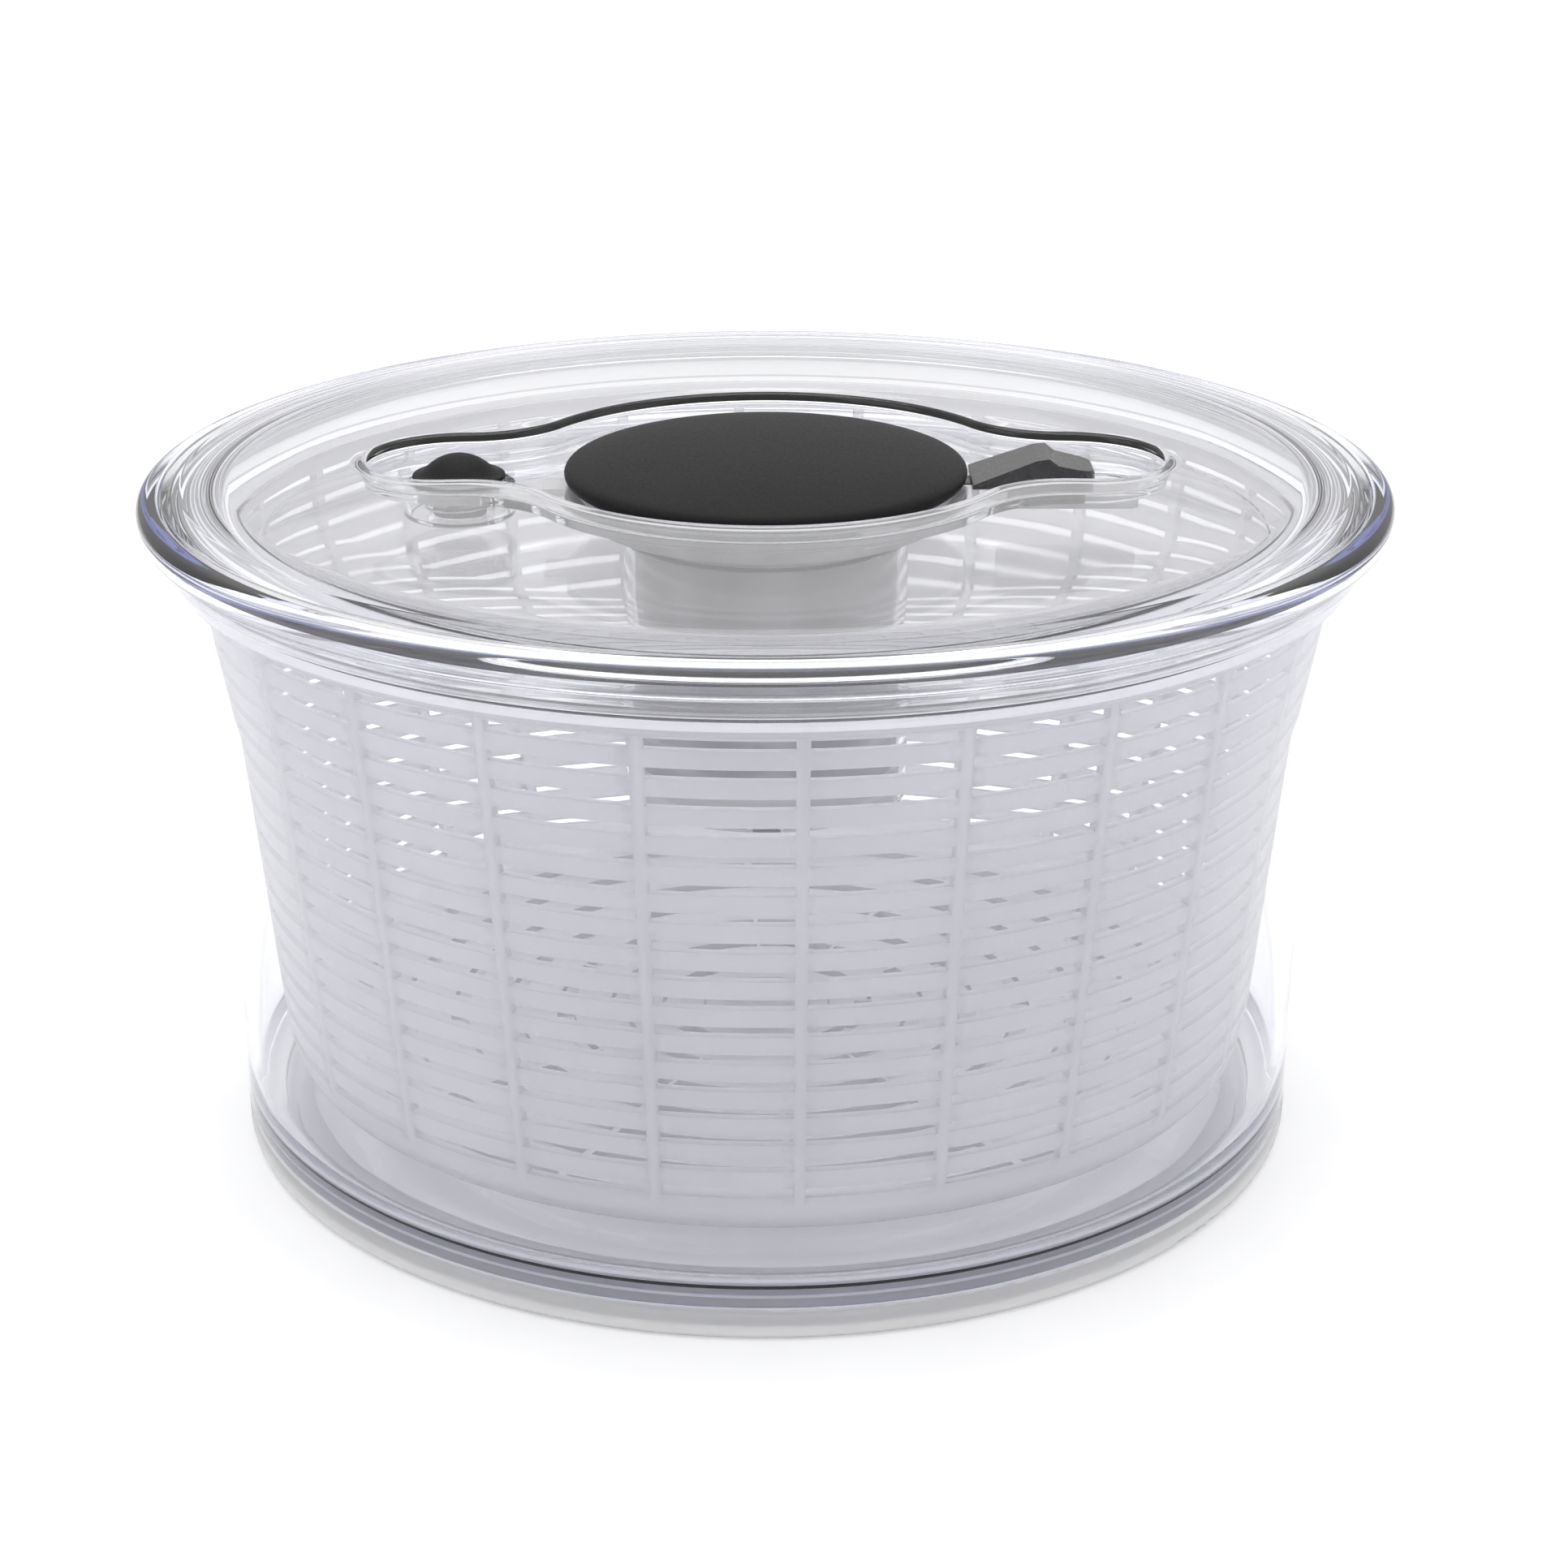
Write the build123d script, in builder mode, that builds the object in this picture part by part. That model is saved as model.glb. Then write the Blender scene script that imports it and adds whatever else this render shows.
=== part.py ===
# Pump-type salad spinner: clear bowl, strainer basket, domed lid, and the pump drive in the lid.
# Millimetres, +Z up. The origin is on the surface it stands on, on the axis that the basket turns about.
# The brake button is on -X and the lock slide on +X. The knob is modelled pressed down and locked.
import os
from math import sqrt
from build123d import *

# Bowl
BASE_R = 117.9            # outer radius from the foot up to where the flare starts
FLARE_Z = 20.0            # height where the flare starts
FLARE_R = 555.0           # radius of the flare's arc
WALL = 2.6                # bowl wall
BOWL_BOTTOM_Z = 7.0       # underside of the bowl, on the foot ring
FLOOR_Z = 9.8             # inside floor of the bowl
FLANGE_R = 133.35         # half of the 10.5 in rim
FLANGE_LOW_Z = 138.4      # underside of the rim
RIM_TOP_Z = 144.7         # top of the bowl's rim
LEDGE_Z = 140.4           # ledge that the lid's lip rests over
LEDGE_R = 126.9           # inner edge of the ledge
MOUTH_R = 128.5           # inner radius of the rim above the ledge
THICKEN_Z = 112.0         # height above which the wall thickens towards the ledge
PIVOT_R = 5.0             # centre cone that the basket turns on, halfway up
PIVOT_SPREAD = 2.0        # the cone's foot is this much wider than that and its tip this much slimmer
PIVOT_TOP_Z = 19.0

# Foot ring
FOOT_IN_R = 104.0
KEY_IN_R = 108.0          # rib under the bowl that keys into the foot ring
KEY_OUT_R = 110.0
KEY_Z = 3.0

# Basket
BASKET_LOW_Z = 17.0       # underside
BASKET_LIP_Z = 131.0      # top of the lip
BASKET_R0 = 105.5         # outer radius extrapolated to z = 0
BASKET_TAPER = 0.1        # radius gained per millimetre of height
BASKET_WALL = 2.0
BASKET_CORNER = 7.0       # radius of the corner between floor and wall
SLOT_TOP_Z = 126.8        # top edge of the highest slot
SLOT_PITCH = 6.1
SLOT_H = 2.2
SLOT_ROWS = 17
RIB_COUNT = 24
RIB_W = 2.4
RIB_PROUD = 0.8           # how far a rib stands out of the wall
RIB_ANGLE = -86.7         # direction of the first rib, just beside -Y
LIP_R = 122.4
LIP_H = 3.6
LIP_EDGE = 1.6            # height of the lip's outer edge
FLOOR_RING_R = (22.0, 34.0, 46.0, 58.0, 70.0, 82.0, 94.0)   # middles of the slots in the floor
FLOOR_SLOT_W = 4.0
FLOOR_SPOKES = 12
SPOKE_W = 5.0
BOSS_R = 9.0              # boss in the middle of the floor, over the bowl's pivot cone
BOSS_TOP_Z = 22.0
BOSS_BORE_R = 4.8
BOSS_BORE_Z = 19.5

# Lid
LID_T = 2.2
LIP_OUT_R = 128.1
LID_EDGE_Z = 145.2        # top of the lip's outer edge, just above the bowl's rim
SHOULDER = (124.0, 146.4) # radius and height where the nearly flat top begins
DOME_SLOPE = 0.023        # rise of the top per millimetre towards the centre
PLATE_CORNER = 9.0        # rounding inside, where the top plate meets the skirt
SKIRT_R = 124.4
SKIRT_T = 1.7
SKIRT_LOW_Z = 133.0
RECESS_R = 52.0           # round middle of the figure-8 recess
RECESS_FLOOR_Z = 142.0
RECESS_FLOOR_T = 2.0
RECESS_WALL = 2.0
RECESS_LEAN = -14.0       # taper of the recess walls in degrees, which lean outward
LOBE_X = 68.0             # centre of each lobe's round end
LOBE_R = 16.6
THROAT_R = 24.0           # concave corner between middle and lobe
LID_HOLE_R = 41.2         # hole over the hub's cup

# Hub under the lid
CUP_R = 41.0
CUP_STEP = ((40.6, 136.6), (38.8, 133.4), (31.5, 130.6))   # rim, brow and foot of the cup
CUP_TOP_Z = 142.0
HUB_R = 28.4              # the tube below the cup, inside the turntable's well
HUB_T = 1.8
HUB_LOW_Z = 84.0
HUB_FLOOR_Z = 86.4
HUB_FLANGE_R = 43.5
HUB_FLANGE_Z = (138.2, 139.9)
LUG_COUNT = 3             # lugs that carry the flange out to the lid's bosses
LUG_R = 48.0
LUG_W = 9.0
COLLAR_IN_R = 24.3
COLLAR_Z = (136.8, 139.1)
BUSH_R = 5.0
BUSH_FLANGE_R = 8.0
BUSH_FLANGE_T = 1.2

# Turntable
DISC_Z = 130.0            # top of the clear disc
DISC_T = 2.0
WELL_R = 30.8
WELL_T = 1.5
WELL_LOW_Z = 73.5
DISC_FLAT_R = 110.0       # the disc steps up outside this radius
TABLE_RIM_R = 121.0
TABLE_RIM_Z = 132.6
TABLE_RIM_LOW_Z = 131.3
TABLE_LIP = 5.0           # width of the turntable's rim, which sits on the basket's lip
TABLE_WALL = 1.6

# Ratchet under the hub
RING_OUT_R = WELL_R - WELL_T - 0.05
RING_ROOT_R = 26.5
RING_TIP_R = 24.5
RING_Z = (75.5, 82.5)
RING_TEETH = 24
TOOTH_W = 3.0             # width of a tooth at its root
TOOTH_SINK = 1.5          # how far a tooth's root reaches into the ring
TOOTH_ANGLES = (62, 88)   # angles of a tooth's sloping and steep flanks
WHEEL_R = 14.0
WHEEL_Z = (76.5, 81.5)
PAWL_COUNT = 3
PAWL_T = 1.6
PAWL_PIVOT_R = 2.0
PAWL_GAP = 0.2            # gap round a pawl's pivot
PAWL_LENGTH = 11.0
PAWL_LEAN = 50.0          # the arms trail, so their tips stay just inside the ring's teeth

# Spindle
JOURNAL_R = 3.0
RUNNING_GAP = 0.05
SPINDLE_LOW_Z = 70.5
SPINDLE_COLLAR_R = 6.5
SPINDLE_COLLAR_Z = 87.7
CLIP_R = 6.0              # retaining clip under the turntable
CLIP_Z = (72.0, 73.2)
GROOVE_R = 2.2
SPINDLE_HELIX_Z = 89.5
SPINDLE_TOP_Z = 139.0
SQUARE_SIDE = 7.6         # side of the twisted square shaft
SQUARE_ROUND = 0.8
LEAD = 42.0               # one turn of the twist
NUT_GAP = 0.3
NUT_MARGIN = 1.0          # the nut's cutter runs this far past both faces

# Knob and plunger
KNOB_R = 43.3
KNOB_Z = (142.5, 151.0)
KNOB_WIDE_Z = 144.4
KNOB_FOOT_R = 40.6
KNOB_CURVE = ((20.0, 150.2), (34.0, 148.4), (40.5, 146.8))   # the top between the crown and the side
CORE_R = 38.0
CORE_Z = (139.5, 148.4)
CORE_NECK = (26.0, 141.3) # radius and height where the core widens above the sleeve
SLEEVE_R = 24.0
SLEEVE_T = 1.8
SLEEVE_LOW_Z = 92.5
STOP_R = 26.3             # flange at the sleeve's foot, which meets the collar at full height
STOP_H = 1.8
TUBE_R = 12.0
TUBE_T = 2.0
NUT_Z = (98.0, 104.0)
SPRING_MEAN_R = 17.6
SPRING_WIRE_R = 0.7
SPRING_TURNS = 11
SPRING_Z = (87.4, 138.6)

# Brake button
BRAKE_X = -66.0
BUTTON_BRIM_R = 10.0
BUTTON_DOME_R = 6.6
BUTTON_Z = (142.7, 144.0, 148.0)   # underside of the brim, top of the brim's edge, top of the dome
GUIDE_R = 12.0            # clear cup under the button
GUIDE_BORE_R = 10.6
GUIDE_LOW_Z = 133.2
GUIDE_FLOOR_T = 0.7
STEM_R = 9.6              # skirt of the stem, notched at its lower edge
STEM_T = 1.0
STEM_LOW_Z = 137.2
POST_R = 5.0              # post in the middle of the stem, which carries the pad
NOTCH_COUNT = 8
NOTCH_W = 3.6
NOTCH_H = 1.8
PAD_R = 5.8
PAD_Z = (133.3, 134.9)    # the pad ends its 3 mm press just clear of the disc
BRAKE_SPRING_R = 7.2
BRAKE_WIRE_R = 0.35
BRAKE_TURNS = 4

# Lock slide
LOCK_W = 17.0             # width of the tab beside the knob
LOCK_END_W = 12.0         # width at its outer end
LOCK_LOW_Z = 142.3
LOCK_TAB = ((44.0, 143.2), (50.0, 145.4), (57.8, 148.2), (60.4, 148.5), (62.4, 146.9), (66.5, 146.0),
            (70.5, 145.2))     # top of the tab from the knob, over the thumb ridge, to its outer end
TONGUE_X = (38.9, 50.0)   # the tongue reaches in under the knob's edge
TONGUE_Z = (140.2, 142.2)
LOCK_SLOT_END = 78.6      # the slot in the recess floor runs out from the hub's hole to here
LOCK_SLOT_W = 7.0
CHANNEL_X = (50.0, 80.0)
CHANNEL_W = 11.0
CHANNEL_T = 1.4
CHANNEL_LOW_Z = 135.6
SHOE_X = (52.0, 68.0)
SHOE_LOW_Z = 137.4

TINY = 0.3                # running gap between pieces that move past each other


def bowl_radius(height):
    """Outer radius of the bowl at a height: straight, then a tangent arc."""
    rise = max(0.0, height - FLARE_Z)
    return BASE_R + FLARE_R - sqrt(FLARE_R ** 2 - rise ** 2)


def basket_radius(height):
    """Outer radius of the basket's wall at a height."""
    return BASKET_R0 + BASKET_TAPER * height


def dome_height(radius):
    """Height of the lid's nearly flat top at a radius."""
    return SHOULDER[1] + DOME_SLOPE * (SHOULDER[0] - radius)


def save(piece, name):
    """Name a finished piece and write it to its own file."""
    piece.part.label = name
    export_step(piece.part, "parts/" + name + ".step")


def outline(*corners):
    """Fill a closed outline given as (x, y, rounding) corners."""
    points = [(x, y) for x, y, rounding in corners]
    with BuildLine(mode=Mode.PRIVATE) as border:
        FilletPolyline(*points, radius=[rounding for x, y, rounding in corners], close=True)
    make_face(border.line)


def figure_eight(grow):
    """Draw the recess outline: a circle with a lobe to each side, grown by an offset."""
    Circle(RECESS_R + grow)
    SlotCenterToCenter(2 * LOBE_X, 2 * (LOBE_R + grow))
    throats = vertices().filter_by_position(Axis.X, -RECESS_R - grow, RECESS_R + grow)
    fillet(throats, THROAT_R - grow)


def coil(mean_r, wire_r, low, high, turns):
    """Sweep a compression spring between two heights into the part being built."""
    rise = high - low - 2 * wire_r
    with BuildLine(mode=Mode.PRIVATE) as path:
        Helix(pitch=rise / turns, height=rise, radius=mean_r, center=(0, 0, low + wire_r))
    start = path.line.edge()
    with BuildSketch(Plane(origin=start @ 0, z_dir=start % 0), mode=Mode.PRIVATE) as wire:
        Circle(wire_r)
    sweep(sections=wire.sketch, path=path.line, is_frenet=True)


def twisted_square(side, low, high, start_deg):
    """A square shaft that turns once per LEAD of height. start_deg is its angle at the low end."""
    with BuildSketch(Plane.XY.offset(low)) as section:
        RectangleRounded(side, side, SQUARE_ROUND, rotation=start_deg)
    turn = 360 * (high - low) / LEAD
    face = section.sketch.face()
    return Solid.extrude_linear_with_rotation(face, (0, 0, low), (0, 0, high - low), turn)


os.makedirs("parts", exist_ok=True)

# ---------------------------------------------------------------- bowl and foot ring
ledge_drop = 3.0
flare_end = (bowl_radius(FLANGE_LOW_Z), FLANGE_LOW_Z)
mid_z = (FLARE_Z + FLANGE_LOW_Z) / 2
wall_end = (bowl_radius(THICKEN_Z) - WALL, THICKEN_Z)
wall_mid_z = (FLARE_Z + THICKEN_Z) / 2
with BuildPart() as bowl:
    with BuildSketch(Plane.XZ):
        with BuildLine():
            FilletPolyline((0, BOWL_BOTTOM_Z), (KEY_IN_R, BOWL_BOTTOM_Z), (KEY_IN_R, KEY_Z),
                           (KEY_OUT_R, KEY_Z), (KEY_OUT_R, BOWL_BOTTOM_Z), (BASE_R, BOWL_BOTTOM_Z),
                           (BASE_R, FLARE_Z), radius=[0, 0, 0, 0, 1.2])
            ThreePointArc((BASE_R, FLARE_Z), (bowl_radius(mid_z), mid_z), flare_end)
            FilletPolyline(flare_end, (FLANGE_R, FLANGE_LOW_Z), (FLANGE_R, RIM_TOP_Z), (MOUTH_R, RIM_TOP_Z),
                           (MOUTH_R, LEDGE_Z), (LEDGE_R, LEDGE_Z), (LEDGE_R - 0.4, LEDGE_Z - ledge_drop),
                           wall_end, radius=[2.2, 2.6, 0.8, 0, 0.5, 2.0])
            ThreePointArc(wall_end, (bowl_radius(wall_mid_z) - WALL, wall_mid_z), (BASE_R - WALL, FLARE_Z))
            FilletPolyline((BASE_R - WALL, FLARE_Z), (BASE_R - WALL, FLOOR_Z),
                           (PIVOT_R + PIVOT_SPREAD, FLOOR_Z), (PIVOT_R - PIVOT_SPREAD, PIVOT_TOP_Z),
                           (0, PIVOT_TOP_Z), (0, BOWL_BOTTOM_Z), radius=[6.0, 2.0, 1.2, 0])
        make_face()
    revolve(axis=Axis.Z)
save(bowl, "bowl")

with BuildPart() as foot_ring:
    with BuildSketch(Plane.XZ):
        outline((FOOT_IN_R, 0, 1.0), (BASE_R, 0, 2.0), (BASE_R, BOWL_BOTTOM_Z, 0.6),
                (KEY_OUT_R, BOWL_BOTTOM_Z, 0), (KEY_OUT_R, KEY_Z, 0), (KEY_IN_R, KEY_Z, 0),
                (KEY_IN_R, BOWL_BOTTOM_Z, 0), (FOOT_IN_R, BOWL_BOTTOM_Z, 0))
    revolve(axis=Axis.Z)
save(foot_ring, "foot_ring")

# ---------------------------------------------------------------- basket
lip_low_z = BASKET_LIP_Z - LIP_H
slot_low_z = SLOT_TOP_Z - SLOT_PITCH * (SLOT_ROWS - 1) - SLOT_H
rib_low_z = slot_low_z - 2.0
rib_high_z = SLOT_TOP_Z + 0.4
floor_top_z = BASKET_LOW_Z + BASKET_WALL
with BuildPart() as basket_rib:
    with BuildSketch(Plane.XZ):
        outline((basket_radius(rib_low_z) - BASKET_WALL, rib_low_z, 0),
                (basket_radius(rib_low_z) + RIB_PROUD, rib_low_z, 0),
                (basket_radius(rib_high_z) + RIB_PROUD, rib_high_z, 0),
                (basket_radius(rib_high_z) - BASKET_WALL, rib_high_z, 0))
    extrude(amount=RIB_W / 2, both=True)

with BuildPart() as basket:
    with BuildSketch(Plane.XZ):
        outline((0, BASKET_LOW_Z, 0), (basket_radius(BASKET_LOW_Z), BASKET_LOW_Z, BASKET_CORNER),
                (basket_radius(lip_low_z), lip_low_z, 1.0), (LIP_R, BASKET_LIP_Z - LIP_EDGE, 0.4),
                (LIP_R, BASKET_LIP_Z, 0.7), (basket_radius(BASKET_LIP_Z) - BASKET_WALL, BASKET_LIP_Z, 0.7),
                (basket_radius(floor_top_z) - BASKET_WALL, floor_top_z, BASKET_CORNER - BASKET_WALL),
                (BOSS_R, floor_top_z, 0.8), (BOSS_R - 1, BOSS_TOP_Z, 0.8), (0, BOSS_TOP_Z, 0))
        with Locations((0, BASKET_LOW_Z)):
            Rectangle(2 * BOSS_BORE_R, 2 * (BOSS_BORE_Z - BASKET_LOW_Z), mode=Mode.SUBTRACT)
        for row in range(SLOT_ROWS):
            slot_z = SLOT_TOP_Z - SLOT_H / 2 - row * SLOT_PITCH
            with Locations((basket_radius(slot_z) - BASKET_WALL / 2, slot_z)):
                Rectangle(3 * BASKET_WALL, SLOT_H, mode=Mode.SUBTRACT)
    revolve(axis=Axis.Z)
    with PolarLocations(0, RIB_COUNT, start_angle=RIB_ANGLE):
        add(basket_rib.part)
    with BuildSketch(Plane.XY.offset(BASKET_LOW_Z)):
        for ring_r in reversed(FLOOR_RING_R):
            Circle(ring_r + FLOOR_SLOT_W / 2)
            Circle(ring_r - FLOOR_SLOT_W / 2, mode=Mode.SUBTRACT)
        with PolarLocations(0, FLOOR_SPOKES, start_angle=RIB_ANGLE):
            Rectangle(BASE_R, SPOKE_W, align=(Align.MIN, Align.CENTER), mode=Mode.SUBTRACT)
    extrude(amount=BASKET_WALL, mode=Mode.SUBTRACT)
save(basket, "basket")

# ---------------------------------------------------------------- lid
recess_depth = dome_height(0) - RECESS_FLOOR_Z + 1
lip_low = LEDGE_Z + TINY
with BuildPart() as recess_block:
    with BuildSketch(Plane.XY.offset(RECESS_FLOOR_Z - RECESS_FLOOR_T)):
        figure_eight(RECESS_WALL)
    extrude(amount=recess_depth, taper=RECESS_LEAN)
    with BuildSketch(Plane.XZ):
        outline((0, 0, 0), (SHOULDER[0], 0, 0), (*SHOULDER, 0), (0, dome_height(0), 0))
    revolve(axis=Axis.Z, mode=Mode.INTERSECT)

plate_under = dome_height(SKIRT_R) - LID_T
with BuildPart() as lid_shell:
    with BuildSketch(Plane.XZ):
        outline((LIP_OUT_R, lip_low, 0.5), (LIP_OUT_R, LID_EDGE_Z, 0.5), (*SHOULDER, 3.0),
                (0, dome_height(0), 0), (0, dome_height(0) - LID_T, 0),
                (SKIRT_R - SKIRT_T, plate_under, PLATE_CORNER), (SKIRT_R - SKIRT_T, SKIRT_LOW_Z, 0.6),
                (SKIRT_R, SKIRT_LOW_Z, 0.6), (SKIRT_R, lip_low, 0.6))
    revolve(axis=Axis.Z)
    add(recess_block.part)
    with BuildSketch(Plane.XY.offset(RECESS_FLOOR_Z)):
        figure_eight(0)
    extrude(amount=recess_depth, taper=RECESS_LEAN, mode=Mode.SUBTRACT)
    with BuildSketch(Plane.XY.offset(RECESS_FLOOR_Z - 2 * RECESS_FLOOR_T)):
        Circle(LID_HOLE_R)
        with Locations((BRAKE_X, 0)):
            Circle(GUIDE_BORE_R)
        Rectangle(LOCK_SLOT_END, LOCK_SLOT_W, align=(Align.MIN, Align.CENTER))
    extrude(amount=3 * RECESS_FLOOR_T, mode=Mode.SUBTRACT)
save(lid_shell, "lid_shell")

# ---------------------------------------------------------------- hub under the lid
with BuildPart() as hub_housing:
    with BuildSketch(Plane.XZ):
        (rim_r, rim_z), (brow_r, brow_z), (foot_r, foot_z) = CUP_STEP
        outline((BUSH_R, HUB_LOW_Z, 0), (HUB_R, HUB_LOW_Z, 0.8), (HUB_R, foot_z, 0.4),
                (foot_r, foot_z, 1.5), (brow_r, brow_z, 1.5), (rim_r, rim_z, 0.8),
                (CUP_R, HUB_FLANGE_Z[0], 0), (HUB_FLANGE_R, HUB_FLANGE_Z[0], 0.4),
                (HUB_FLANGE_R, HUB_FLANGE_Z[1], 0.4), (CUP_R, HUB_FLANGE_Z[1], 0), (CUP_R, CUP_TOP_Z, 0.4),
                (CUP_R - HUB_T, CUP_TOP_Z, 0.4), (rim_r - HUB_T, rim_z, 0.6),
                (brow_r - HUB_T, brow_z + 1, 1.0), (HUB_R - HUB_T, foot_z + HUB_T, 1.0),
                (HUB_R - HUB_T, HUB_FLOOR_Z, 1.0), (BUSH_R, HUB_FLOOR_Z, 0))
    revolve(axis=Axis.Z)
    with BuildSketch(Plane.XY.offset(HUB_FLANGE_Z[0])):
        with PolarLocations(0, LUG_COUNT, start_angle=60):
            Rectangle(LUG_R, LUG_W, align=(Align.MIN, Align.CENTER))
        Circle(CUP_R - HUB_T / 2, mode=Mode.SUBTRACT)
    extrude(amount=HUB_FLANGE_Z[1] - HUB_FLANGE_Z[0])
    with BuildSketch(Plane.XY.offset(TONGUE_Z[0] - TINY)):
        Rectangle(CUP_R + 1, LOCK_SLOT_W, align=(Align.MIN, Align.CENTER))
    extrude(until=Until.LAST, mode=Mode.SUBTRACT)
save(hub_housing, "hub_housing")

with BuildPart() as guide_collar:
    with BuildSketch(Plane.XZ):
        outline((COLLAR_IN_R, COLLAR_Z[0], 0.5), (rim_r - HUB_T - 0.1, COLLAR_Z[0], 0.4),
                (rim_r - HUB_T - 0.1, COLLAR_Z[1], 0.4), (COLLAR_IN_R, COLLAR_Z[1], 0.5))
    revolve(axis=Axis.Z)
save(guide_collar, "guide_collar")

with BuildPart() as spindle_bush:
    bore_r = JOURNAL_R + RUNNING_GAP
    with BuildSketch(Plane.XZ):
        outline((bore_r, HUB_LOW_Z, 0), (BUSH_R, HUB_LOW_Z, 0), (BUSH_R, HUB_FLOOR_Z, 0),
                (BUSH_FLANGE_R, HUB_FLOOR_Z, 0), (BUSH_FLANGE_R, HUB_FLOOR_Z + BUSH_FLANGE_T, 0.4),
                (bore_r, HUB_FLOOR_Z + BUSH_FLANGE_T, 0))
    revolve(axis=Axis.Z)
save(spindle_bush, "spindle_bush")

# ---------------------------------------------------------------- turntable
rim_wall_r = TABLE_RIM_R - TABLE_LIP
with BuildPart() as turntable:
    with BuildSketch(Plane.XZ):
        outline((JOURNAL_R + RUNNING_GAP, WELL_LOW_Z, 0), (WELL_R, WELL_LOW_Z, 1.5),
                (WELL_R, DISC_Z - DISC_T, 1.0), (DISC_FLAT_R, DISC_Z - DISC_T, 2.0),
                (rim_wall_r, TABLE_RIM_LOW_Z, 0.6),
                (TABLE_RIM_R, TABLE_RIM_LOW_Z, 0.4), (TABLE_RIM_R, TABLE_RIM_Z, 0.4),
                (rim_wall_r - TABLE_WALL, TABLE_RIM_Z, 0.6), (DISC_FLAT_R - 1, DISC_Z, 2.0),
                (WELL_R - WELL_T, DISC_Z, 0.8), (WELL_R - WELL_T, RING_Z[0], 0),
                (JOURNAL_R + RUNNING_GAP, RING_Z[0], 0))
    revolve(axis=Axis.Z)
save(turntable, "turntable")

with BuildPart() as drive_ring:
    with BuildSketch(Plane.XY.offset(RING_Z[0])):
        Circle(RING_OUT_R)
        Circle(RING_ROOT_R, mode=Mode.SUBTRACT)
        with PolarLocations((RING_ROOT_R + RING_TIP_R) / 2, RING_TEETH):
            with Locations((TOOTH_SINK / 2, 0)):
                Trapezoid(TOOTH_W, RING_ROOT_R - RING_TIP_R + TOOTH_SINK, *TOOTH_ANGLES, rotation=90)
    extrude(amount=RING_Z[1] - RING_Z[0])
save(drive_ring, "drive_ring")

with BuildPart() as ratchet_wheel:
    with BuildSketch(Plane.XY.offset(WHEEL_Z[0])):
        Circle(WHEEL_R)
        Circle(JOURNAL_R, mode=Mode.SUBTRACT)
    extrude(amount=WHEEL_Z[1] - WHEEL_Z[0])
    with BuildSketch(Plane.XY.offset(WHEEL_Z[0])):
        with PolarLocations(WHEEL_R, PAWL_COUNT):
            Circle(PAWL_PIVOT_R + PAWL_GAP)
    extrude(amount=WHEEL_Z[1] - WHEEL_Z[0], mode=Mode.SUBTRACT)
save(ratchet_wheel, "ratchet_wheel")

with BuildPart() as pawls:
    with BuildSketch(Plane.XY.offset(WHEEL_Z[0])):
        with PolarLocations(WHEEL_R, PAWL_COUNT):
            Circle(PAWL_PIVOT_R)
            Rectangle(PAWL_LENGTH, PAWL_T, rotation=PAWL_LEAN, align=(Align.MIN, Align.CENTER))
    extrude(amount=WHEEL_Z[1] - WHEEL_Z[0])
save(pawls, "pawls")

# ---------------------------------------------------------------- spindle
with BuildPart() as spindle:
    with BuildSketch(Plane.XZ):
        outline((0, SPINDLE_LOW_Z, 0), (JOURNAL_R, SPINDLE_LOW_Z, 0.4), (JOURNAL_R, CLIP_Z[0], 0),
                (GROOVE_R, CLIP_Z[0], 0), (GROOVE_R, CLIP_Z[1], 0), (JOURNAL_R, CLIP_Z[1], 0),
                (JOURNAL_R, SPINDLE_COLLAR_Z, 0), (SPINDLE_COLLAR_R, SPINDLE_COLLAR_Z, 0),
                (SPINDLE_COLLAR_R, SPINDLE_HELIX_Z, 0), (0, SPINDLE_HELIX_Z, 0))
    revolve(axis=Axis.Z)
    add(twisted_square(SQUARE_SIDE, SPINDLE_HELIX_Z, SPINDLE_TOP_Z, 0))
save(spindle, "spindle")

with BuildPart() as spindle_clip:
    with BuildSketch(Plane.XY.offset(CLIP_Z[0])):
        Circle(CLIP_R)
        Circle(GROOVE_R, mode=Mode.SUBTRACT)
        Rectangle(CLIP_R, 2 * GROOVE_R - 1, align=(Align.MIN, Align.CENTER), mode=Mode.SUBTRACT)
    extrude(amount=CLIP_Z[1] - CLIP_Z[0])
save(spindle_clip, "spindle_clip")

# ---------------------------------------------------------------- knob and plunger
core_low, core_top = CORE_Z
with BuildPart() as knob_core:
    with BuildSketch(Plane.XZ):
        outline((0, core_low, 0), (SLEEVE_R, core_low, 0.4), (*CORE_NECK, 0.5),
                (CORE_R, KNOB_Z[0] + 0.4, 0.8), (CORE_R + 1.6, KNOB_WIDE_Z + 0.4, 1.0),
                (CORE_R / 2, core_top - 0.4, 6.0), (0, core_top, 0))
    revolve(axis=Axis.Z)
save(knob_core, "knob_core")

with BuildPart() as knob_grip:
    with BuildSketch(Plane.XZ):
        with BuildLine():
            Line((0, KNOB_Z[0] - 1), (0, KNOB_Z[1]))
            Spline((0, KNOB_Z[1]), *KNOB_CURVE, (KNOB_R, KNOB_WIDE_Z), tangents=[(1, 0), (0, -1)])
            ThreePointArc((KNOB_R, KNOB_WIDE_Z), (KNOB_R - 0.7, KNOB_WIDE_Z - 1.4), (KNOB_FOOT_R, KNOB_Z[0]))
            Polyline((KNOB_FOOT_R, KNOB_Z[0]), (CORE_R, KNOB_Z[0]), (0, KNOB_Z[0] - 1))
        make_face()
    revolve(axis=Axis.Z)
    add(knob_core.part, mode=Mode.SUBTRACT)
save(knob_grip, "knob_grip")

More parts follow.
